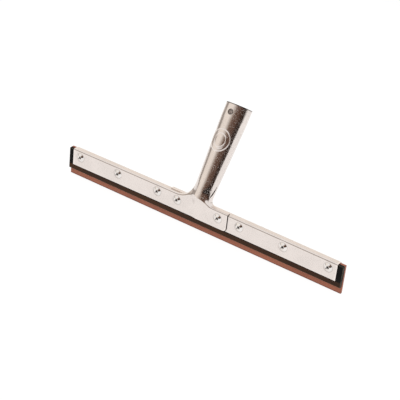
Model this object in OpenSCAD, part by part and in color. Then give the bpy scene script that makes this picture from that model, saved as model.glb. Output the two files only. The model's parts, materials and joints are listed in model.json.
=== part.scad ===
// Window cleaning squeegee head: two pressed steel stampings, each half of the
// handle socket and one arm of the blade channel, riveted through two rubber strips.
// The origin is the middle of the wiping edge. X runs along the blade,
// -Y is the front of the head and +Z points from the blade towards the handle.

/* [Rubber] */
// Length of both rubber strips
blade_len = 305; // [200:1:460]
// Thickness of the wiping strip
wiper_t = 2.5; // [1.5:0.1:4]
// Thickness of the backing strip in front of it
cushion_t = 3; // [2:0.1:5]
// How far the wiping strip stands below the steel
wiper_drop = 13; // [10:0.5:20]
// How far the backing strip stands below the steel
cushion_drop = 6; // [3:0.5:9]

/* [Channel] */
// Length of the steel channel
frame_len = 294; // [190:1:450]
// Height of the steel channel
frame_h = 16.8; // [15:0.1:24]
// Thickness of the steel sheet
sheet = 0.8; // [0.6:0.1:1.2]
// Outside radius of the bend along the channel's top
bend_r = 1.6; // [1:0.1:2.5]
// How far each stamping laps over the other one's arm
lap_len = 33; // [28:1:38]
// Width of the small flange along the lap's top
flange_w = 4; // [3:0.1:4.2]

/* [Handle socket] */
// How far the socket leans back
lean = 31; // [20:1:40]
// Distance from the channel to the mouth along the socket
socket_len = 94.3; // [80:0.1:120]
// Outside diameter at the mouth
mouth_d = 25.4; // [22:0.1:28]
// Outside diameter where the socket starts to flatten
foot_d = 20.4; // [18:0.1:22]
// Height of that place above the channel, along the socket
foot_len = 16; // [14:1:20]
// Straight stretch inside the mouth that takes the handle
bore_len = 14; // [12:1:18]
// Hole for the screw that holds the handle
screw_d = 4.4; // [3:0.1:5]
// Distance of that hole from the mouth
screw_down = 8; // [6:0.5:10]

/* [Rivets] */
// Rivet places to each side of the middle
rivet_x = [23, 45.7, 92.4, 138.3];
// Height of the rivets above the channel's lower edge
rivet_up = 10.2; // [8:0.1:12]
// Diameter of the rivet heads
head_d = 8.8; // [7:0.1:10]
// Height of the rivet heads
head_h = 1.6; // [1:0.1:2]
// Diameter of the rivet shanks
shank_d = 4.6; // [3:0.1:5]

/* [Hidden] */

$fn = 96;
seam = 0.05;                // half the gap between the two stampings
rubber_gap = 0.6;           // room above the rubber strips
lap_start = 4;              // where each lap reaches past the middle
corner_r = 4;               // lower corner of the lap
hole_play = 0.1;            // radial play round a rivet shank
dimple_r = 1.6;             // sphere that dents each rivet head
dimple_up = 1.1;            // how far that sphere stands off the head's top
rim_w = 1.1;                // width of the rolled ring on a rivet's rear end
foot_slope = 28;            // slope of the foot's underside behind the channel
axis_drop = 1.5;            // how far below the channel's top the socket's axis starts
reach = 200;                // longer than the socket

front_y = -(sheet + cushion_t + wiper_t / 2);
back_y = wiper_t / 2 + sheet;
mid_y = (front_y + back_y) / 2;
steel_z = wiper_drop;
top_z = steel_z + frame_h;
axis_z = top_z - axis_drop; // where the socket's axis meets the channel's middle plane
rivet_z = steel_z + rivet_up;
rivet_xs = concat([for (i = [3:-1:0]) -rivet_x[i]], rivet_x);
mouth_r = mouth_d / 2;
foot_r = foot_d / 2;
flange_top = top_z + sheet;
parting_y = mid_y + (flange_top - axis_z) * tan(lean);

// Places its children on the socket's axis, with the axis as +Z.
module on_socket() {
    translate([0, mid_y, axis_z])
        rotate([-lean, 0, 0])
            children();
}

// Turns the head round, front to back, about the middle of its channel.
module turned() {
    translate([0, mid_y, 0])
        rotate([0, 0, 180])
            translate([0, -mid_y, 0])
                children();
}

// Cross-section of an arm: front plate, top web and back leg.
module channel_section() {
    inner_r = bend_r - sheet;
    difference() {
        union() {
            translate([front_y, steel_z])
                square([back_y - front_y, frame_h - bend_r]);
            translate([front_y + bend_r, steel_z])
                square([back_y - front_y - 2 * bend_r, frame_h]);
            for (y = [front_y + bend_r, back_y - bend_r])
                translate([y, top_z - bend_r])
                    circle(r = bend_r);
        }
        translate([front_y + sheet, steel_z - 1])
            square([back_y - front_y - 2 * sheet, frame_h + 1 - sheet - inner_r]);
        translate([front_y + sheet + inner_r, steel_z - 1])
            square([back_y - front_y - 2 * sheet - 2 * inner_r, frame_h + 1 - sheet]);
        for (y = [front_y + sheet + inner_r, back_y - sheet - inner_r])
            translate([y, top_z - bend_r])
                circle(r = inner_r);
    }
}

// Stretches a section drawn in Y and Z from x0 to x1.
module along_x(x0, x1) {
    translate([x0, 0, 0])
        rotate([90, 0, 90])
            linear_extrude(height = x1 - x0)
                children();
}

// Left arm of the channel, which belongs to the front stamping.
module arm() {
    along_x(-frame_len / 2, -seam)
        channel_section();
}

// Section of the lap: a plate over the other arm's front and a flange over its top.
module lap_section() {
    lap_r = bend_r + sheet;
    plate_y = front_y - sheet;
    difference() {
        union() {
            translate([plate_y, steel_z])
                square([sheet + lap_r, frame_h + sheet - lap_r]);
            translate([plate_y + lap_r, top_z])
                square([flange_w - lap_r, sheet]);
            translate([plate_y + lap_r, flange_top - lap_r])
                circle(r = lap_r);
        }
        translate([front_y, steel_z - 1])
            square([reach, frame_h + 1 - bend_r]);
        translate([front_y + bend_r, steel_z - 1])
            square([reach, frame_h + 1]);
        translate([front_y + bend_r, top_z - bend_r])
            circle(r = bend_r);
    }
}

// Lap of the front stamping over the right arm, with its lower corner rounded.
module lap() {
    difference() {
        along_x(-lap_start, lap_len)
            lap_section();
        translate([lap_len - corner_r, front_y, steel_z + corner_r])
            rotate([90, 0, 0])
                difference() {
                    translate([0, -corner_r - 1, -1])
                        cube([corner_r + 1, corner_r + 1, sheet + 2]);
                    translate([0, 0, -2])
                        cylinder(r = corner_r, h = sheet + 4);
                }
    }
}

// Solid of the socket, inset by the given amount, with a straight stretch at the mouth.
module socket_body(inset, over) {
    straight_z = socket_len - bore_len;
    taper = (mouth_r - foot_r) / (straight_z - foot_len);
    on_socket()
        rotate_extrude()
            polygon([
                [0, -foot_len],
                [foot_r - inset - 2 * foot_len * taper, -foot_len],
                [mouth_r - inset, straight_z],
                [mouth_r - inset, socket_len + over],
                [0, socket_len + over]
            ]);
}

// Space that flattens the socket's foot onto the channel: it is bounded by the front
// plate's plane, and by a slope that runs back and up from the channel's rear edge.
module foot_space(inset, drop) {
    slope_rise = inset / cos(foot_slope) - inset * tan(foot_slope);
    along_x(-reach, reach)
        polygon([
            [front_y + inset, top_z - drop],
            [back_y - inset, top_z - drop],
            [back_y - inset, top_z + slope_rise],
            [back_y - inset + reach, top_z + slope_rise + reach * tan(foot_slope)],
            [back_y - inset + reach, 3 * reach],
            [front_y + inset, 3 * reach]
        ]);
}

// Everything in front of the seam, which runs up both sides of the socket.
module front_side() {
    front_edge = front_y - sheet + flange_w;
    far_y = parting_y + reach * sin(lean);
    far_z = flange_top + reach * cos(lean);
    along_x(-reach, reach)
        polygon([
            [-reach, top_z],
            [front_edge, top_z],
            [front_edge, flange_top],
            [parting_y - seam, flange_top],
            [far_y - seam, far_z],
            [-reach, far_z]
        ]);
}

// Everything behind that seam.
module rear_side() {
    rear_edge = back_y + sheet - flange_w;
    far_y = parting_y + reach * sin(lean);
    far_z = flange_top + reach * cos(lean);
    along_x(-reach, reach)
        polygon([
            [reach, top_z],
            [rear_edge, top_z],
            [rear_edge, flange_top],
            [parting_y + seam, flange_top],
            [far_y + seam, far_z],
            [reach, far_z]
        ]);
}

// Wall of the whole socket and foot.
module socket_wall() {
    difference() {
        intersection() {
            socket_body(0, 0);
            foot_space(0, 0);
        }
        intersection() {
            socket_body(sheet, 1);
            foot_space(sheet, 1);
        }
    }
}

// Holes for the rivets through everything they pass.
module rivet_holes() {
    for (x = rivet_xs)
        translate([x, 0, rivet_z])
            rotate([90, 0, 0])
                cylinder(r = shank_d / 2 + hole_play, h = reach, center = true);
}

// Hole for the handle's screw, straight through the front of the socket.
module screw_hole() {
    on_socket()
        translate([0, 0, socket_len - screw_down])
            rotate([90, 0, 0])
                cylinder(d = screw_d, h = mouth_d);
}

module front_frame_half() {
    color("gainsboro")
        difference() {
            union() {
                arm();
                lap();
                intersection() {
                    socket_wall();
                    front_side();
                }
            }
            rivet_holes();
            screw_hole();
        }
}

module rear_frame_half() {
    color("silver")
        difference() {
            union() {
                turned() {
                    arm();
                    lap();
                }
                intersection() {
                    socket_wall();
                    rear_side();
                }
            }
            rivet_holes();
        }
}

// A rubber strip between the two plates, from z0 up to just under the web.
module strip(y0, thickness, z0) {
    difference() {
        translate([-blade_len / 2, y0, z0])
            cube([blade_len, thickness, top_z - sheet - rubber_gap - z0]);
        rivet_holes();
    }
}

module cushion_strip() {
    color([0.2, 0.15, 0.12])
        strip(front_y + sheet, cushion_t, steel_z - cushion_drop);
}

module wiping_strip() {
    color([0.62, 0.3, 0.22])
        strip(front_y + sheet + cushion_t, wiper_t, 0);
}

// A rivet with a dimpled head in front and a rolled ring behind.
module rivet(index) {
    x = rivet_xs[index];
    laps_front = x > 0 && x < lap_len;
    laps_back = x < 0 && -x < lap_len;
    y0 = front_y - (laps_front ? sheet : 0);
    y1 = back_y + (laps_back ? sheet : 0);
    color("whitesmoke")
        translate([x, 0, rivet_z])
            rotate([90, 0, 0]) {
                translate([0, 0, -y0])
                    rivet_head();
                translate([0, 0, -y1])
                    cylinder(d = shank_d, h = y1 - y0);
                translate([0, 0, -y1])
                    rivet_ring();
            }
}

// Domed head on +Z with a dent in its middle.
module rivet_head() {
    ball_r = (head_d * head_d / 4 + head_h * head_h) / (2 * head_h);
    difference() {
        intersection() {
            cylinder(d = head_d, h = head_h);
            translate([0, 0, head_h - ball_r])
                sphere(r = ball_r);
        }
        translate([0, 0, head_h + dimple_up])
            sphere(r = dimple_r);
    }
}

// Rolled ring on -Z, where the rivet's hollow end is clinched.
module rivet_ring() {
    ring_r = head_d / 2 - rim_w;
    intersection() {
        translate([0, 0, -head_h])
            cylinder(d = head_d, h = head_h);
        union() {
            rotate_extrude()
                translate([ring_r - rim_w / 2, 0])
                    circle(r = rim_w);
            translate([0, 0, -rim_w / 2])
                cylinder(r = ring_r - rim_w / 2, h = rim_w / 2);
        }
    }
}

front_frame_half();
rear_frame_half();
cushion_strip();
wiping_strip();
rivet(0);  // rivet_1
rivet(1);  // rivet_2
rivet(2);  // rivet_3
rivet(3);  // rivet_4
rivet(4);  // rivet_5
rivet(5);  // rivet_6
rivet(6);  // rivet_7
rivet(7);  // rivet_8
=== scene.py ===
"""Looks for the window squeegee head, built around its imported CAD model.

The two steel stampings are meshed from a smooth function of space, so that the socket
flows into the channel as pressed sheet does. Rivets and rubber strips are modelled here
too, and every size starts from the CAD boxes and the record's mounts.
"""

import json
import math

import bmesh
import bpy
import numpy as np
from mathutils import Matrix, Vector


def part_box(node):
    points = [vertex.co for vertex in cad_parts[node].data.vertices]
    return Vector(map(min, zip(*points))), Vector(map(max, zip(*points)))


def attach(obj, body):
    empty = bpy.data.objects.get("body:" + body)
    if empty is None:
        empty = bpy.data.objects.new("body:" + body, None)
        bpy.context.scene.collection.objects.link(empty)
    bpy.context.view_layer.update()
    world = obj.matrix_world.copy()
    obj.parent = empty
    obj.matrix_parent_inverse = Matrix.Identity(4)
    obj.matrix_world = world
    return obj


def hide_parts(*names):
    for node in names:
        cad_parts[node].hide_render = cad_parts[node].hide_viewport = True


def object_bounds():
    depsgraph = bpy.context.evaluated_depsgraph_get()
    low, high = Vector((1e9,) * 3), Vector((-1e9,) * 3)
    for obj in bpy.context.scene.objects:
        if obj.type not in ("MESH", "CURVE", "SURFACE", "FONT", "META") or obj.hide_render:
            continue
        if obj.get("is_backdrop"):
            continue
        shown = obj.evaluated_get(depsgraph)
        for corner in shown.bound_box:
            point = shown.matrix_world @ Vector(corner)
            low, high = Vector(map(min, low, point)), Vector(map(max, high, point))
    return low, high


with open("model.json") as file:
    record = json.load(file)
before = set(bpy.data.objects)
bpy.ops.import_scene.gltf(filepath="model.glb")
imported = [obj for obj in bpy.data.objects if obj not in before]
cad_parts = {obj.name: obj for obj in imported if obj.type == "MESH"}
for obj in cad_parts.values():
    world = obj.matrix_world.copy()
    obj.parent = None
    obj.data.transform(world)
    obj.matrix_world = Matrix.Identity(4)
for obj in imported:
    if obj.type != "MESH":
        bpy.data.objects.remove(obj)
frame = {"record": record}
cad_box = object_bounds()

MM = 0.001

# ---------------------------------------------------------------- sizes, in millimetres

SHEET = 0.8
RUBBER_GAP = 0.6
FLANGE_W = 4.0          # width of the lap's flange on top of the other arm
LAP_LEN = 33.0          # how far the lap reaches from the head's middle
LAP_CORNER = 4.0        # radius of the lap's lower corner
AXIS_DROP = 1.5         # how far below the channel's top the socket's axis starts


def box_mm(node):
    low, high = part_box(node)
    return np.array(low) / MM, np.array(high) / MM


CUSHION = box_mm("cushion_strip")
WIPER = box_mm("wiping_strip")
FRONT_HALF = box_mm("front_frame_half")

FRONT_Y = CUSHION[0][1] - SHEET
BACK_Y = WIPER[1][1] + SHEET
MID_Y = (FRONT_Y + BACK_Y) / 2
HALF_LEN = -FRONT_HALF[0][0]
STEEL_Z = FRONT_HALF[0][2]
TOP_Z = CUSHION[1][2] + RUBBER_GAP + SHEET
AXIS_Z = TOP_Z - AXIS_DROP

MOUNTS = {m["name"]: m for m in frame["record"]["mounts"]}
SOCKET = MOUNTS["handle_socket"]
SCREW = MOUNTS["handle_screw_hole"]
AXIS = np.array(SOCKET["axis"])
FORWARD = np.array([0.0, -AXIS[2], AXIS[1]])
AXIS_FOOT = np.array([0.0, MID_Y, AXIS_Z])
SOCKET_LEN = (np.array(SOCKET["pos_m"]) / MM - AXIS_FOOT) @ AXIS
MOUTH_R = SOCKET["dims"]["r_mm"] + SHEET
BORE_LEN = SOCKET["dims"]["length_mm"]
SCREW_R = SCREW["dims"]["r_mm"]
SCREW_AT = (np.array(SCREW["pos_m"]) / MM - AXIS_FOOT) @ AXIS
FOOT_R = 10.2           # socket's radius where it runs into the channel
FOOT_LEN = 16.0         # stretch of the axis before the socket widens
EDGE_UP = 0.25          # rounding lost along the channel's lower edge
BOW = 0.6               # how much lower the channel's ends are than its middle
RIVET_NUMBERS = range(1, 9)
RIVETS = [box_mm(f"rivet_{i}") for i in RIVET_NUMBERS]


# ---------------------------------------------------------------- camera

CAMERA_AZ = 32.455
CAMERA_EL = 29.372
CAMERA_ROLL = 6.348
CAMERA_AT = (-1.23, 0.0, 29.98)
CAMERA_DISTANCE = 1131.0
CAMERA_LENS = 112.19
SENSOR = 36.0


def make_camera():
    az, el = math.radians(CAMERA_AZ), math.radians(CAMERA_EL)
    back = Vector((math.sin(az) * math.cos(el), -math.cos(az) * math.cos(el), math.sin(el)))
    roll = Matrix.Rotation(math.radians(CAMERA_ROLL), 3, "Z")
    turn = back.to_track_quat("Z", "Y").to_matrix() @ roll
    data = bpy.data.cameras.new("camera")
    data.sensor_width = SENSOR
    data.lens = CAMERA_LENS
    data.clip_start = 0.05
    data.clip_end = 50
    camera = bpy.data.objects.new("camera", data)
    bpy.context.scene.collection.objects.link(camera)
    place = (Vector(CAMERA_AT) + back * CAMERA_DISTANCE) * MM
    camera.matrix_world = Matrix.Translation(place) @ turn.to_4x4()
    bpy.context.scene.camera = camera


make_camera()

# ---------------------------------------------------------------- skin of a stamping
#
# A stamping's outer skin is the zero surface of a smooth function of X, Y and Z, below
# zero inside. Side 1 is the front stamping. Side -1 is the rear one, which has the same
# arms turned round and the socket's other half.

WIDE_BLEND = 16.5       # corner between the left arm and the socket, front stamping
REAR_BLEND = 10.0       # the same corner, rear stamping
LAP_BLEND = 7.5         # corner at the right, front stamping
TIGHT_BLEND = 3.6       # the same corner, rear stamping
JOGGLE = (-6.0, 1.0)    # stretch of X where the sheet steps out to form the lap
SHIN_FOOT_Z = 22.0      # where the socket's front rises out of the front plate
SHIN_TOP = (36.7, -7.66)     # Z and Y where the front line meets the leaning socket
CHIN_Z = 20.0           # where the socket's back rises out of the rear plate
CHIN_SLOPE = 45.0
WEB_BEND = 1.3          # blend of the long bends
FOOT_BEND = 6.0         # how much softer the front bend is round the socket's foot
FOOT_BEND_RISE = (1.0, 12.0)  # heights above the channel where that softness comes in
FOOT_REACH = (8.0, 16.0)      # distances from the middle where the foot gives way to the arm
LAP_FADE = (2.0, 7.0)   # heights above the channel where the lap's step dies out
BLEND_CHANGE = 4.0      # half the stretch of X where the left blend turns into the right one
SHIN_BLEND = 2.5
SHIN_LIMIT = -10.0      # lowest height, from its foot, that the shin's line is drawn to
CHIN_BLEND = 4.0
BACK_BLEND = 6.0
CREASE = 0.2            # blend where the socket's two halves meet the rear plate


def smooth_min(a, b, k):
    h = np.clip(1 - np.abs(a - b) / k, 0, 1)
    return np.minimum(a, b) - h * h * k / 4


def smooth_max(a, b, k):
    return -smooth_min(-a, -b, k)


def smooth_step(x, x0, x1):
    t = np.clip((x - x0) / (x1 - x0), 0, 1)
    return t * t * (3 - 2 * t)


def socket_radius(s):
    taper = (MOUTH_R - FOOT_R) / (SOCKET_LEN - BORE_LEN - FOOT_LEN)
    return np.minimum(MOUTH_R, FOOT_R + (s - FOOT_LEN) * taper)


def bow(x):
    return BOW * (x / HALF_LEN) ** 2


def on_axis(p):
    """Distance along the socket's axis, and distance in front of it."""
    d = p - AXIS_FOOT
    return d @ AXIS, d @ FORWARD


def skin(p, side):
    """Below zero inside the stamping on this side, above zero outside it."""
    x = p[..., 0] * side
    y = p[..., 1]
    z = p[..., 2] + bow(x)
    s, q = on_axis(p)
    radius = socket_radius(s)
    lap = SHEET * smooth_step(x, *JOGGLE) * (1 - smooth_step(z - TOP_Z, *LAP_FADE))
    tube = np.hypot(x, q) - radius
    left, right = (WIDE_BLEND, LAP_BLEND) if side > 0 else (REAR_BLEND, TIGHT_BLEND)
    blend = left + (right - left) * smooth_step(p[..., 0], -BLEND_CHANGE, BLEND_CHANGE)
    body = smooth_min(tube, z - TOP_Z - lap, blend)
    front = FRONT_Y - (lap if side > 0 else 0) - y
    slope = (SHIN_TOP[1] - FRONT_Y) / (SHIN_TOP[0] - SHIN_FOOT_Z)
    shin_y = FRONT_Y + slope * np.maximum(z - SHIN_FOOT_Z, SHIN_LIMIT)
    shin = np.hypot(x, y - shin_y - FOOT_R) - FOOT_R
    front = smooth_min(front, shin, SHIN_BLEND)
    lift = (z - CHIN_Z) * math.cos(math.radians(CHIN_SLOPE))
    chin = lift - (y - BACK_Y) * math.sin(math.radians(CHIN_SLOPE))
    bulge = smooth_max(tube, -chin, CHIN_BLEND)
    back = smooth_min(y - BACK_Y - (lap if side < 0 else 0), bulge, BACK_BLEND)
    away = smooth_step(np.abs(x), *FOOT_REACH)
    front_bend = WEB_BEND + FOOT_BEND * (1 - away) * smooth_step(z - TOP_Z, *FOOT_BEND_RISE)
    back_bend = CREASE + (WEB_BEND - CREASE) * away
    return smooth_max(smooth_max(body, front, front_bend), back, back_bend)


def gradient(p, side, h=0.02):
    out = np.empty_like(p)
    for i in range(3):
        step = np.zeros(3)
        step[i] = h
        out[:, i] = (skin(p + step, side) - skin(p - step, side)) / (2 * h)
    return out


def unit(v):
    return v / np.maximum(np.linalg.norm(v, axis=1), 1e-9)[:, None]


def pull_to_skin(p, side, rounds):
    for _ in range(rounds):
        g = gradient(p, side)
        p = p - (skin(p, side) / np.maximum((g * g).sum(1), 0.05))[:, None] * g
    return p


FINE = 0.7
COARSE = 3.0
FINE_REACH = 37.1       # how far from the middle the fine lines reach, past the laps' ends


def grid_lines():
    """Grid lines along X, Y and Z, close together round the socket."""
    inner = np.arange(-FINE_REACH, FINE_REACH + 0.01, FINE)
    outer = np.arange(FINE_REACH + COARSE, HALF_LEN + 2 * COARSE, COARSE)
    xs = np.concatenate([-outer[::-1], inner, outer])
    top = AXIS_FOOT + AXIS * (SOCKET_LEN + 2)
    ys = np.arange(FRONT_Y - 7, top[1] + MOUTH_R + 2, FINE)
    zs = np.arange(STEEL_Z - 2, top[2] + MOUTH_R + 2, FINE)
    return xs, ys, zs


def skin_mesh(side):
    """Points and four-sided faces of the zero surface, one point per crossed cell."""
    lines = grid_lines()
    inside = np.empty([len(a) for a in lines], bool)
    for i, x in enumerate(lines[0]):
        yy, zz = np.meshgrid(lines[1], lines[2], indexing="ij")
        inside[i] = skin(np.stack([np.full_like(yy, x), yy, zz], -1), side) < 0
    shape = [n - 1 for n in inside.shape]
    count = np.zeros(shape, np.int8)
    for corner in np.ndindex(2, 2, 2):
        count += inside[tuple(slice(c, c + n) for c, n in zip(corner, shape))]
    cells = (count > 0) & (count < 8)
    number = np.full(shape, -1, np.int64)
    number[cells] = np.arange(cells.sum())
    where = np.argwhere(cells)
    points = np.stack([(a[1:] + a[:-1])[where[:, i]] / 2 for i, a in enumerate(lines)], 1)
    faces = []
    for a in range(3):
        b, c = (a + 1) % 3, (a + 2) % 3
        change = np.diff(inside.astype(np.int8), axis=a)
        at = np.argwhere(change != 0)
        ok = (at[:, b] > 0) & (at[:, c] > 0) & (at[:, b] < shape[b]) & (at[:, c] < shape[c])
        at = at[ok]
        corners = []
        for db, dc in ((0, 0), (-1, 0), (-1, -1), (0, -1)):
            cell = at.copy()
            cell[:, b] += db
            cell[:, c] += dc
            corners.append(number[tuple(cell.T)])
        quads = np.stack(corners, 1)
        entering = change[tuple(at.T)] > 0
        quads[entering] = quads[entering][:, ::-1]
        faces.append(quads)
    return points, np.concatenate(faces)


def relax(points, quads, side, rounds=3):
    """Evens out the points along the skin."""
    for _ in range(rounds):
        total = np.zeros_like(points)
        hits = np.zeros(len(points))
        for i in range(4):
            for u, v in ((i, (i + 1) % 4), ((i + 1) % 4, i)):
                np.add.at(total, quads[:, u], points[quads[:, v]])
                np.add.at(hits, quads[:, u], 1)
        mean = total / np.maximum(hits, 1)[:, None]
        points = pull_to_skin(points + 0.5 * (mean - points), side, 2)
    return points


def clip(points, tris, value):
    """Cuts the triangles along value = 0 and leaves the part above it."""
    value = np.where(np.abs(value) < 1e-6, 1e-6, value)
    above = value > 0
    score = above[tris].sum(1)
    points = list(points)
    cut = {}

    def crossing(i, j):
        key = (min(i, j), max(i, j))
        if key not in cut:
            t = value[i] / (value[i] - value[j])
            cut[key] = len(points)
            points.append(points[i] + t * (points[j] - points[i]))
        return cut[key]

    kept = [tuple(t) for t in tris[score == 3]]
    for tri in tris[(score == 1) | (score == 2)]:
        one = above[tri].sum() == 1
        odd = next(i for i in range(3) if above[tri[i]] == one)
        a, b, c = tri[odd], tri[(odd + 1) % 3], tri[(odd + 2) % 3]
        ab, ac = crossing(a, b), crossing(a, c)
        kept += [(a, ab, ac)] if one else [(ab, b, c), (ab, c, ac)]
    used, tris = np.unique(np.array(kept), return_inverse=True)
    return np.array(points)[used], tris.reshape(-1, 3)


def refine(points, tris, chosen):
    """Splits the chosen triangles in four, and their neighbours to match."""
    points = list(points)
    middle = {}
    for a, b, c in tris[chosen]:
        for i, j in ((a, b), (b, c), (c, a)):
            key = (min(i, j), max(i, j))
            if key not in middle:
                middle[key] = len(points)
                points.append((points[i] + points[j]) / 2)
    out = []
    for a, b, c in tris.tolist():
        ab, bc, ca = [middle.get((min(i, j), max(i, j))) for i, j in ((a, b), (b, c), (c, a))]
        split = 3 - (ab, bc, ca).count(None)
        if split == 3:
            out += [(a, ab, ca), (ab, b, bc), (ca, bc, c), (ab, bc, ca)]
            continue
        while split and (ab is None or (split == 2 and bc is None)):
            a, b, c, ab, bc, ca = b, c, a, bc, ca, ab
        if split == 2:
            out += [(a, ab, c), (ab, b, bc), (ab, bc, c)]
        elif split == 1:
            out += [(a, ab, c), (ab, b, c)]
        else:
            out.append((a, b, c))
    return np.array(points), np.array(out)


# Where each stamping's skin is cut. Every value is above zero where the sheet stays.

SEAM = 0.08             # half of the gap between the stampings along the socket
# Edges of the stampings round the socket's foot: height, how far the lap side's edge lies
# from the parting plane, and the extra gap before the other stamping's edge.
NOTCH_Z = [30.6, 33.0, 36.0, 38.0, 41.4, 46.0]
NOTCH_EDGE = {1: [2.8, 3.2, 3.8, 4.0, 2.6, 0.0], -1: [-0.15, 1.0, 2.2, 2.4, 1.6, 0.0]}
NOTCH_GAP = [-0.7, -0.6, 0.2, 2.4, 2.2, 0.0]
KEPT = 9.0              # any value well above zero, where nothing is cut


def bottom_cut(p):
    return p[:, 2] + bow(p[:, 0]) - STEEL_Z - EDGE_UP


def mouth_cut(p):
    return SOCKET_LEN - on_axis(p)[0]


def end_cut(p, side):
    x, z = p[:, 0] * side, p[:, 2] + bow(p[:, 0])
    across = LAP_CORNER - (LAP_LEN - x)
    down = LAP_CORNER - (z - STEEL_Z)
    corner = LAP_CORNER - np.hypot(across, down)
    lap = np.where((across > 0) & (down > 0), corner, LAP_LEN - x)
    return np.minimum(x + HALF_LEN, lap)


def flange_cut(p, side):
    """How far inside the edge of the lap's flange."""
    behind_plate = p[:, 1] - FRONT_Y if side > 0 else BACK_Y - p[:, 1]
    return FLANGE_W - SHEET - behind_plate


def seam_cut(p, side):
    """Seam up the socket's sides, and the rear edge of the lap's flange."""
    x, z = p[:, 0] * side, p[:, 2] + bow(p[:, 0])
    past = -on_axis(p)[1] * side / AXIS[2]
    outward = 1.1 * smooth_step(x, 9, 14) * (1 - smooth_step(z, 31, 34))
    own = np.interp(z, NOTCH_Z, NOTCH_EDGE[side]) - outward
    other = np.interp(z, NOTCH_Z, NOTCH_EDGE[-side]) - np.interp(z, NOTCH_Z, NOTCH_GAP)
    arm = np.where(z < TOP_Z + 0.2, KEPT, other - past - SEAM)
    on_flange = (z < TOP_Z + SHEET - 0.1) | ((x > 11) & (z < TOP_Z + SHEET + 0.3))
    lap = np.where(on_flange, flange_cut(p, side), -past - own - SEAM)
    return np.where(x < -2, arm, np.where(x > 0, lap, np.minimum(arm, lap)))


def screw_cut(p):
    s, q = on_axis(p)
    return np.where(q > 0, np.hypot(p[:, 0], s - SCREW_AT) - SCREW_R, KEPT)


# ---------------------------------------------------------------- stamped mark
#
# Two plain rings, one inside the other, raised on the socket's front.

MARK_AT = SOCKET_LEN - 35.0   # the rings' centre, along the socket's axis
MARK_R = 10.3
MARK_INNER_R = 6.4
MARK_HEIGHT = 0.32
MARK_LINE = 0.6         # half width of a raised line
MARK_DEPTH = 0.3        # the outer ring's inside is pressed in this far
MARK_SLOPE = (4.5, 0.5) # distances inside the outer ring where the dish's side lies
MARK_MARGIN = 1.6       # the mesh is fine this far past the outer ring


def mark_place(p):
    """Place on the socket's unrolled front, from the mark's centre."""
    s, q = on_axis(p)
    return np.arctan2(p[:, 0], q) * MOUTH_R, s - MARK_AT, q > 0


def mark_relief(p):
    a, b, ahead = mark_place(p)
    r = np.hypot(a, b)
    near = np.minimum(np.abs(r - MARK_R), np.abs(r - MARK_INNER_R))
    rise = 0.5 + 0.5 * np.cos(np.pi * np.clip(near / MARK_LINE, 0, 1))
    dish = 1 - smooth_step(r, MARK_R - MARK_SLOPE[0], MARK_R - MARK_SLOPE[1])
    return np.where(ahead, MARK_HEIGHT * rise - MARK_DEPTH * dish, 0.0)


def near_mark(p):
    a, b, ahead = mark_place(p)
    return (np.hypot(a, b) < MARK_R + MARK_MARGIN) & ahead


# ---------------------------------------------------------------- pieces

def link(name, mesh, node):
    piece = bpy.data.objects.new(name, mesh)
    bpy.context.scene.collection.objects.link(piece)
    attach(piece, "root")
    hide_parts(node)
    return piece


def longest(points, tris):
    """Longest edge of each triangle."""
    corners = points[tris]
    return np.linalg.norm(corners - np.roll(corners, 1, axis=1), axis=2).max(1)


def rivet_distance(p):
    """Distance from the nearest rivet's centre line."""
    distances = []
    for low, high in RIVETS:
        x, _, z = (low + high) / 2
        distances.append(np.hypot(p[:, 0] - x, p[:, 2] - z + bow(x)))
    return np.minimum.reduce(distances)


SHADE_START = -0.3       # painted shade beside an edge starts this far under the covering sheet
RIVET_SHADE_R = 4.55
RIVET_SHADE_W = 0.45
SOCKET_FRONT = 60.0     # past this length the front face belongs to the socket's upper part


def beside(distance, full, none):
    """Painted shade beside an edge: all of it up to full, fading out at none."""
    return (distance > SHADE_START) * (1 - smooth_step(distance, full, none))


def painted_shade_on(p, side):
    """Painted shade, where shadow falls: by the other stamping's lap, rivets, mouth and hole."""
    s, q = on_axis(p)
    other = -side
    z = p[:, 2] + bow(p[:, 0])
    past = -end_cut(p, other)
    near_plate = (p[:, 1] < FRONT_Y + 0.7) if other > 0 else (p[:, 1] > BACK_Y - 0.7)
    by_end = np.where(near_plate & (z < TOP_Z + 1), beside(past, 0.4, 1.1), 0)
    behind = -flange_cut(p, other)
    on_top = (z > TOP_Z - 0.7) & (z < TOP_Z + 1.2) & (p[:, 0] * other > 1) & (past < 0)
    by_flange = np.where(on_top, beside(behind, 0.3, 0.9), 0) * (0.4 if side < 0 else 0.12)
    from_ring = np.abs(rivet_distance(p) - RIVET_SHADE_R) / RIVET_SHADE_W
    by_rivet = np.where(z < TOP_Z - 0.5, 0.35 * np.clip(1 - from_ring, 0, 1), 0)
    by_mouth = 0.8 * smooth_step(s, SOCKET_LEN - 1.1, SOCKET_LEN - 0.5)
    from_hole = np.hypot(p[:, 0], s - SCREW_AT) - SCREW_R
    on_front = (q > 0) & (s > SOCKET_FRONT)
    by_hole = np.where(on_front, 0.9 * (1 - smooth_step(from_hole, 0.2, 0.9)), 0)
    return np.maximum.reduce([by_end * 0.9, by_flange, by_rivet, by_mouth, by_hole])


REFINE_LIMITS = (1.6, 0.9, 0.5)   # longest edge left after each pass, near details
RAW_EDGE = {1: 1.0, -1: 0.25}     # how dark each stamping's cut edges are


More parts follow.
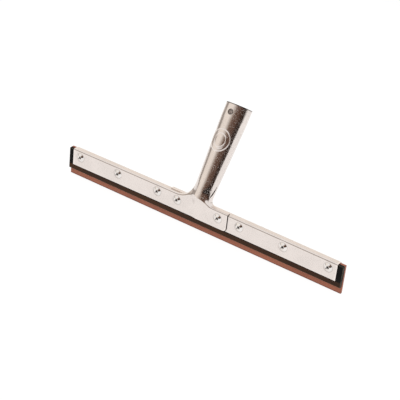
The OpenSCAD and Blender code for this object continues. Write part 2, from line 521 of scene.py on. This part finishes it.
def stamping(name, side, node):
    """One stamping: its skin, cut to outline, made finer near details and given thickness."""
    points, quads = skin_mesh(side)
    points = relax(pull_to_skin(points, side, 6), quads, side)
    tris = np.concatenate([quads[:, [0, 1, 2]], quads[:, [0, 2, 3]]])
    for cut in (bottom_cut, mouth_cut):
        points, tris = clip(points, tris, cut(points))
    for cut in (end_cut, seam_cut):
        points, tris = clip(points, tris, cut(points, side))
    if side > 0:
        points, tris = clip(points, tris, screw_cut(points))
        for _ in range(2):
            points, tris = refine(points, tris, near_mark(points)[tris].all(1))
        points = np.where(near_mark(points)[:, None], pull_to_skin(points, side, 3), points)
    for limit in REFINE_LIMITS:
        detail = (np.abs(rivet_distance(points) - 4.6) < 1.2) | (painted_shade_on(points, side) > 0)
        points, tris = refine(points, tris, detail[tris].any(1) & (longest(points, tris) > limit))
    normals = unit(gradient(points, side))
    inner = points - SHEET * normals
    painted_shade = painted_shade_on(points, side)
    if side > 0:
        points = points + mark_relief(points)[:, None] * normals
    shell(name, points, inner, tris, painted_shade, RAW_EDGE[side], node)


def shell(name, outer, inner, tris, painted_shade, raw, node):
    """Sheet metal between two skins. Its cut edges are faces of their own, dark by raw."""
    n = len(outer)
    edges = set()
    for a, b, c in tris.tolist():
        edges |= {(a, b), (b, c), (c, a)}
    rim = np.array(sorted(e for e in edges if (e[1], e[0]) not in edges))
    m = len(rim)
    walls = np.concatenate([outer[rim[:, 1]], outer[rim[:, 0]], inner[rim[:, 0]], inner[rim[:, 1]]])
    first = 2 * n + np.arange(m)
    wall_faces = np.stack([first, first + m, first + 2 * m, first + 3 * m], 1)
    points = np.concatenate([outer, inner, walls])
    faces = tris.tolist() + (tris[:, ::-1] + n).tolist() + wall_faces.tolist()
    mesh = bpy.data.meshes.new(name)
    mesh.from_pydata((points * MM).tolist(), [], faces)
    mesh.update()
    mesh.shade_smooth()
    # The first attribute holds painted shade, which darkens the steel's colour by seams, rivets, mouth
    # and hole.
    for key, values in (("painted_shade", [painted_shade, 0 * painted_shade, np.zeros(4 * m)]),
                        ("inside", [0 * painted_shade, 0 * painted_shade + 1, np.zeros(4 * m)]),
                        ("cut_edge", [0 * painted_shade, 0 * painted_shade, np.full(4 * m, raw)])):
        data = mesh.attributes.new(key, "FLOAT", "POINT").data
        data.foreach_set("value", np.concatenate(values).astype(np.float32))
    link(name, mesh, node)


stamping("front_stamping", 1, "front_frame_half")
stamping("rear_stamping", -1, "rear_frame_half")

# Rivets. Each profile is radius and height above the sheet.

HEAD_H = 1.6
RING_H = 1.1
HEAD = [(0.0, 0.12), (0.35, 0.2), (0.9, 0.62), (1.35, 1.05), (1.7, 1.42), (1.95, 1.58),
        (2.2, 1.57), (2.45, 1.42), (2.9, 1.08), (3.5, 0.6), (3.95, 0.25), (4.2, 0.08), (4.4, 0.0)]
RING = [(0.0, -0.9), (1.2, -0.9), (1.45, -0.2), (1.6, 0.7), (1.95, 1.08), (2.5, 1.1), (3.0, 0.85),
        (3.3, 0.4), (3.35, 0.0)]
RIVET_STEPS = 48


def smooth_profile(profile, rounds=2):
    """Rounds a profile by cutting its corners, with both ends kept."""
    for _ in range(rounds):
        out = [profile[0]]
        for a, b in zip(profile[:-1], profile[1:]):
            out.append((a[0] * 0.75 + b[0] * 0.25, a[1] * 0.75 + b[1] * 0.25))
            out.append((a[0] * 0.25 + b[0] * 0.75, a[1] * 0.25 + b[1] * 0.75))
        profile = out + [profile[-1]]
    return profile


def turn_profile(work, profile, x, y, z, out):
    """Adds a profile turned about a line along Y; out is -1 to face the front."""
    rows = []
    for r, h in profile:
        turns = [2 * math.pi * i / RIVET_STEPS for i in range(RIVET_STEPS)] if r > 0 else [0.0]
        row = []
        for t in turns:
            point = Vector((x + r * math.cos(t), y + out * h, z + r * math.sin(t)))
            row.append(work.verts.new(point * MM))
        rows.append(row if r > 0 else row * RIVET_STEPS)
    for a, b in zip(rows[:-1], rows[1:]):
        for i in range(RIVET_STEPS):
            j = (i + 1) % RIVET_STEPS
            corners = list(dict.fromkeys([a[i], a[j], b[j], b[i]]))
            work.faces.new(corners if out < 0 else corners[::-1])


def make_rivet(i):
    node = f"rivet_{i}"
    low, high = box_mm(node)
    x, z = (low[0] + high[0]) / 2, (low[2] + high[2]) / 2 - bow((low[0] + high[0]) / 2)
    mesh = bpy.data.meshes.new(node)
    work = bmesh.new()
    turn_profile(work, smooth_profile(HEAD), x, low[1] + HEAD_H, z, -1)
    turn_profile(work, smooth_profile(RING), x, high[1] - RING_H, z, 1)
    work.to_mesh(mesh)
    work.free()
    mesh.shade_smooth()
    points = np.array([v.co for v in mesh.vertices]) / MM
    r = np.hypot(points[:, 0] - x, points[:, 2] - z)
    # Painted shade: dark in the dimple and round the rim of the head.
    in_dimple = 0.95 * (1 - smooth_step(r, 0.7, 1.6))
    shade_mask = np.maximum(in_dimple, 0.8 * smooth_step(r, 4.1, 4.35))
    shade_mask = np.where(points[:, 1] < low[1] + HEAD_H + 0.1, shade_mask, 0).astype(np.float32)
    mesh.attributes.new("painted_shade", "FLOAT", "POINT").data.foreach_set("value", shade_mask)
    link(f"turned_rivet_{i}", mesh, node)


for number in RIVET_NUMBERS:
    make_rivet(number)


# Rubber strips: the CAD boxes with softened edges.

def make_strip(name, node, soft):
    low, high = box_mm(node)
    mesh = bpy.data.meshes.new(name)
    work = bmesh.new()
    bmesh.ops.create_cube(work, size=1)
    for v in work.verts:
        v.co = Vector(((low[i] + high[i]) / 2 + v.co[i] * (high[i] - low[i])) * MM for i in range(3))
    bmesh.ops.bevel(work, geom=work.edges, offset=soft * MM, segments=3, profile=0.5, affect="EDGES")
    rounded = [max(abs(c) for c in f.normal) < 0.999 for f in work.faces]
    work.to_mesh(mesh)
    work.free()
    mesh.polygons.foreach_set("use_smooth", rounded)
    mesh.attributes.new("edge", "FLOAT", "FACE").data.foreach_set("value", np.array(rounded, np.float32))
    link(name, mesh, node)


make_strip("cushion_rubber", "cushion_strip", 0.45)
make_strip("wiping_rubber", "wiping_strip", 0.3)


# ---------------------------------------------------------------- materials

class Nodes:
    """Short way to wire up a node tree. Each step gives the socket that holds its result."""

    def __init__(self, tree):
        self.tree = tree

    def new(self, kind):
        return self.tree.nodes.new(kind)

    def fill(self, socket, value):
        """Sets a socket from a number or a colour, or links another socket to it."""
        if isinstance(value, tuple):
            socket.default_value = (*value, 1)
        elif isinstance(value, (int, float)):
            socket.default_value = value
        else:
            self.tree.links.new(value, socket)

    def spread(self, value, low, high, out_low=0.0, out_high=1.0, kind="SMOOTHSTEP"):
        node = self.new("ShaderNodeMapRange")
        node.interpolation_type = kind
        for key, number in (("Value", value), ("From Min", low), ("From Max", high),
                            ("To Min", out_low), ("To Max", out_high)):
            self.fill(node.inputs[key], number)
        return node.outputs["Result"]

    def math(self, kind, a, b):
        node = self.new("ShaderNodeMath")
        node.operation = kind
        self.fill(node.inputs[0], a)
        self.fill(node.inputs[1], b)
        return node.outputs[0]

    def blend(self, amount, a, b):
        node = self.new("ShaderNodeMix")
        node.data_type = "RGBA"
        self.fill(node.inputs["Factor"], amount)
        self.fill(node.inputs[6], a)
        self.fill(node.inputs[7], b)
        return node.outputs[2]

    def axis(self, which, source):
        node = self.new("ShaderNodeSeparateXYZ")
        self.fill(node.inputs[0], source)
        return node.outputs[which]


class Material(Nodes):
    """A node material, placed by the piece's own coordinates."""

    def __init__(self, name):
        self.material = bpy.data.materials.new(name)
        self.material.use_nodes = True
        super().__init__(self.material.node_tree)
        self.shader = self.tree.nodes["Principled BSDF"]
        self.place = self.new("ShaderNodeTexCoord").outputs["Object"]

    def noise(self, scale, detail=2.0, rough=0.5, stretch=None):
        node = self.new("ShaderNodeTexNoise")
        node.inputs["Scale"].default_value = scale
        node.inputs["Detail"].default_value = detail
        node.inputs["Roughness"].default_value = rough
        source = self.place
        if stretch:
            mapping = self.new("ShaderNodeMapping")
            mapping.inputs["Scale"].default_value = stretch
            self.fill(mapping.inputs["Vector"], self.place)
            source = mapping.outputs["Vector"]
        self.fill(node.inputs["Vector"], source)
        return node.outputs["Fac"]

    def at(self, which):
        return self.axis(which, self.place)

    def facing(self, which):
        return self.axis(which, self.new("ShaderNodeTexCoord").outputs["Normal"])

    def attribute(self, name):
        node = self.new("ShaderNodeAttribute")
        node.attribute_name = name
        return node.outputs["Fac"]

    def pointiness(self):
        return self.new("ShaderNodeNewGeometry").outputs["Pointiness"]

    def feed(self, value, socket):
        self.fill(self.shader.inputs[socket], value)

    def bump(self, height, distance, strength):
        node = self.new("ShaderNodeBump")
        node.inputs["Distance"].default_value = distance
        node.inputs["Strength"].default_value = strength
        self.fill(node.inputs["Height"], height)
        self.feed(node.outputs["Normal"], "Normal")


def bend_line(m, amount):
    """Faint painted shade line along the channel's front bend and up the left corner."""
    out = m.math("MULTIPLY", m.facing(1), -1.0)
    band = m.math("MULTIPLY", m.spread(out, 0.90, 0.985, 1.0, 0.0), m.spread(out, 0.50, 0.72))
    x, z = m.at(0), m.at(2)
    along = m.math("MULTIPLY", m.spread(z, (TOP_Z - 3) * MM, (TOP_Z - 2) * MM),
                   m.spread(z, (TOP_Z + 0.6) * MM, (TOP_Z + 3) * MM, 1.0, 0.0))
    corner = m.math("MULTIPLY", m.spread(x, -0.010, -0.005, 1.0, 0.0),
                    m.spread(z, (TOP_Z + 4) * MM, (TOP_Z + 9) * MM, 1.0, 0.0))
    corner = m.math("MULTIPLY", corner, m.spread(z, (TOP_Z - 3) * MM, (TOP_Z - 2) * MM))
    return m.math("MULTIPLY", m.math("MULTIPLY", band, m.math("MAXIMUM", along, corner)), amount)


def steel_material(name, tint, grain, specks, bend_shade):
    m = Material(name)
    m.shader.inputs["Metallic"].default_value = 1.0
    cloud = m.noise(55, 3, 0.6)
    speck = m.noise(1500, 2, 0.6)
    # Lighter along sharp convex edges: partly wear, partly a painted highlight.
    wear_and_highlight = m.spread(m.pointiness(), 0.505, 0.56)
    base = m.blend(m.spread(cloud, 0.3, 0.7), tint, tuple(c * 0.95 for c in tint))
    base = m.blend(wear_and_highlight, base, tuple(min(c * 1.12, 1) for c in tint))
    base = m.blend(m.attribute("cut_edge"), base, (0.13, 0.10, 0.085))
    # Painted shade: a dark line along the front bend and up the left corner.
    if bend_shade:
        base = m.blend(bend_line(m, bend_shade), base, (0.10, 0.065, 0.045))
    # Painted shade: near-black where the shade attribute marks seams, rivet rims, the mouth and the
    # hole.
    m.feed(m.blend(m.attribute("painted_shade"), base, (0.03, 0.022, 0.018)), "Base Color")
    haze = m.math("ADD", m.spread(cloud, 0.3, 0.75, 0.06, 0.12), m.spread(speck, 0.52, 0.7, 0.0, specks))
    raw = m.math("MULTIPLY", m.math("ADD", m.attribute("cut_edge"), m.attribute("inside")), 0.4)
    m.feed(m.math("ADD", haze, raw), "Roughness")
    fine = m.math("MULTIPLY", m.noise(900, 3, 0.6), 0.7)
    broad = m.math("MULTIPLY", m.noise(160, 2, 0.5), 0.6)
    m.bump(m.math("ADD", fine, broad), 0.00005, grain)
    return m.material


def black_material():
    m = Material("black_rubber")
    cloud = m.noise(90, 4, 0.6, (0.4, 1, 1))
    base = m.blend(m.spread(cloud, 0.3, 0.7), (0.038, 0.016, 0.007), (0.062, 0.028, 0.012))
    shade = m.spread(m.at(2), (STEEL_Z - 1.6) * MM, (STEEL_Z - 0.4) * MM)
    base = m.blend(shade, base, (0.001, 0.0006, 0.0004))
    m.shader.inputs["Specular IOR Level"].default_value = 0.13
    # Painted highlight: lighter bevels, broken up by noise.
    bevel_highlight = m.math("MULTIPLY", m.attribute("edge"), m.spread(m.noise(300, 3, 0.6), 0.3, 0.6))
    m.feed(m.blend(bevel_highlight, base, (0.12, 0.10, 0.075)), "Base Color")
    m.feed(m.spread(cloud, 0.3, 0.7, 0.5, 0.7), "Roughness")
    m.bump(m.noise(1200, 3, 0.6), 0.00008, 0.5)
    return m.material


def red_material():
    m = Material("red_rubber")
    cloud = m.noise(70, 4, 0.6, (0.3, 1, 1))
    base = m.blend(m.spread(cloud, 0.3, 0.7), (0.325, 0.104, 0.058), (0.415, 0.146, 0.085))
    # Painted shade: the wiper darkens towards its bottom edge.
    shade_mask = m.spread(m.at(2), 0.0, 1.5 * MM, 1.0, 0.0)
    base = m.blend(shade_mask, base, (0.10, 0.028, 0.018))
    m.shader.inputs["Specular IOR Level"].default_value = 0.3
    # Painted highlight: lighter bevels, broken up by noise.
    bevel_highlight = m.math("MULTIPLY", m.attribute("edge"), m.spread(m.noise(300, 3, 0.6), 0.3, 0.6, 0.0, 0.6))
    m.feed(m.blend(bevel_highlight, base, (0.55, 0.2, 0.16)), "Base Color")
    m.feed(m.spread(cloud, 0.3, 0.7, 0.45, 0.65), "Roughness")
    m.bump(m.noise(1000, 3, 0.6), 0.00008, 0.4)
    return m.material


def give(material, *names):
    for name in names:
        bpy.data.objects[name].data.materials.append(material)


STEEL_TINT = (0.785, 0.715, 0.675)
RIVET_TINT = (0.84, 0.80, 0.77)
give(steel_material("plated_steel", STEEL_TINT, 0.5, 0.42, 0.65), "front_stamping", "rear_stamping")
give(steel_material("rivet_steel", RIVET_TINT, 0.25, 0.1, 0.0),
     *(f"turned_rivet_{i}" for i in RIVET_NUMBERS))
give(black_material(), "cushion_rubber")
give(red_material(), "wiping_rubber")

# ---------------------------------------------------------------- studio

FLOOR_R = 0.7
FLOOR_STEPS = 128


def make_floor():
    mesh = bpy.data.meshes.new("floor")
    around = [2 * math.pi * i / FLOOR_STEPS for i in range(FLOOR_STEPS)]
    rim = [(FLOOR_R * math.cos(t), FLOOR_R * math.sin(t), 0) for t in around]
    mesh.from_pydata(rim, [], [tuple(range(len(rim)))])
    floor = bpy.data.objects.new("floor", mesh)
    bpy.context.scene.collection.objects.link(floor)
    material = bpy.data.materials.new("floor")
    material.use_nodes = True
    shader = material.node_tree.nodes["Principled BSDF"]
    shader.inputs["Base Color"].default_value = (0.14, 0.14, 0.14, 1)
    shader.inputs["Roughness"].default_value = 1
    shader.inputs["Specular IOR Level"].default_value = 0
    shader.inputs["Emission Color"].default_value = (1, 1, 1, 1)
    shader.inputs["Emission Strength"].default_value = 0.93
    mesh.materials.append(material)
    floor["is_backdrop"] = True


# Colour of the room near the horizon, by the angle from -Y towards +X in degrees. The
# room is dark at the front right, where no light stands.
ROOM = [(-26, (1.0, 0.95, 0.89)), (-15, (0.80, 0.75, 0.71)), (-5, (0.56, 0.51, 0.46)),
        (3, (0.38, 0.31, 0.26)), (11, (0.24, 0.165, 0.13)), (20, (0.155, 0.095, 0.070)),
        (48, (0.135, 0.080, 0.060)), (66, (0.085, 0.050, 0.038)), (96, (0.065, 0.040, 0.030)),
        (105, (1.0, 0.98, 0.96))]
ROOM_SPAN = (-40, 120)  # angles that the ramp covers


def make_world():
    """A white room with a dark opening at the front right, and a thin gap at the left."""
    world = bpy.data.worlds.new("studio")
    bpy.context.scene.world = world
    world.use_nodes = True
    n = Nodes(world.node_tree)
    rad = math.radians
    direction = n.new("ShaderNodeTexCoord").outputs["Generated"]
    x, y, z = [n.axis(i, direction) for i in range(3)]
    turn = n.math("ARCTAN2", x, n.math("MULTIPLY", y, -1.0))
    first, last = ROOM_SPAN
    ramp = n.new("ShaderNodeValToRGB")
    n.fill(ramp.inputs["Fac"], n.spread(turn, rad(first), rad(last), kind="LINEAR"))
    while len(ramp.color_ramp.elements) < len(ROOM):
        ramp.color_ramp.elements.new(0.5)
    for stop, (angle, colour) in zip(ramp.color_ramp.elements, ROOM):
        stop.position = (angle - first) / (last - first)
        stop.color = (*colour, 1)
    low = n.spread(z, 0.52, 0.63, 1, 0)
    left = n.math("MULTIPLY", n.spread(turn, rad(-112), rad(-98)),
                  n.spread(turn, rad(-76), rad(-58), 1, 0))
    gap = n.math("MULTIPLY", left, n.spread(z, 0.09, 0.26, 0.68, 0))
    seen = n.new("ShaderNodeLightPath").outputs["Is Camera Ray"]
    above = n.math("MULTIPLY", n.spread(z, -0.21, -0.20), n.math("SUBTRACT", 1.0, seen))
    across = n.math("MULTIPLY", n.spread(turn, rad(8), rad(22)),
                    n.spread(turn, rad(50), rad(74), 1, 0.45))
    near_floor = n.math("MULTIPLY", n.spread(z, 0.10, 0.26, 0.97, 0), across)
    dark = n.blend(near_floor, ramp.outputs["Color"], (0.0, 0.0, 0.0))
    room = n.blend(n.math("MULTIPLY", low, above), (1.0, 1.0, 1.0), dark)
    colour = n.blend(n.math("MULTIPLY", gap, above), room, (0.10, 0.07, 0.055))
    n.fill(n.tree.nodes["Background"].inputs["Color"], colour)


make_floor()
make_world()
bpy.context.scene.view_settings.view_transform = "Standard"

[[list(map(float, corner)) for corner in box] for box in (cad_box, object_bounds())]
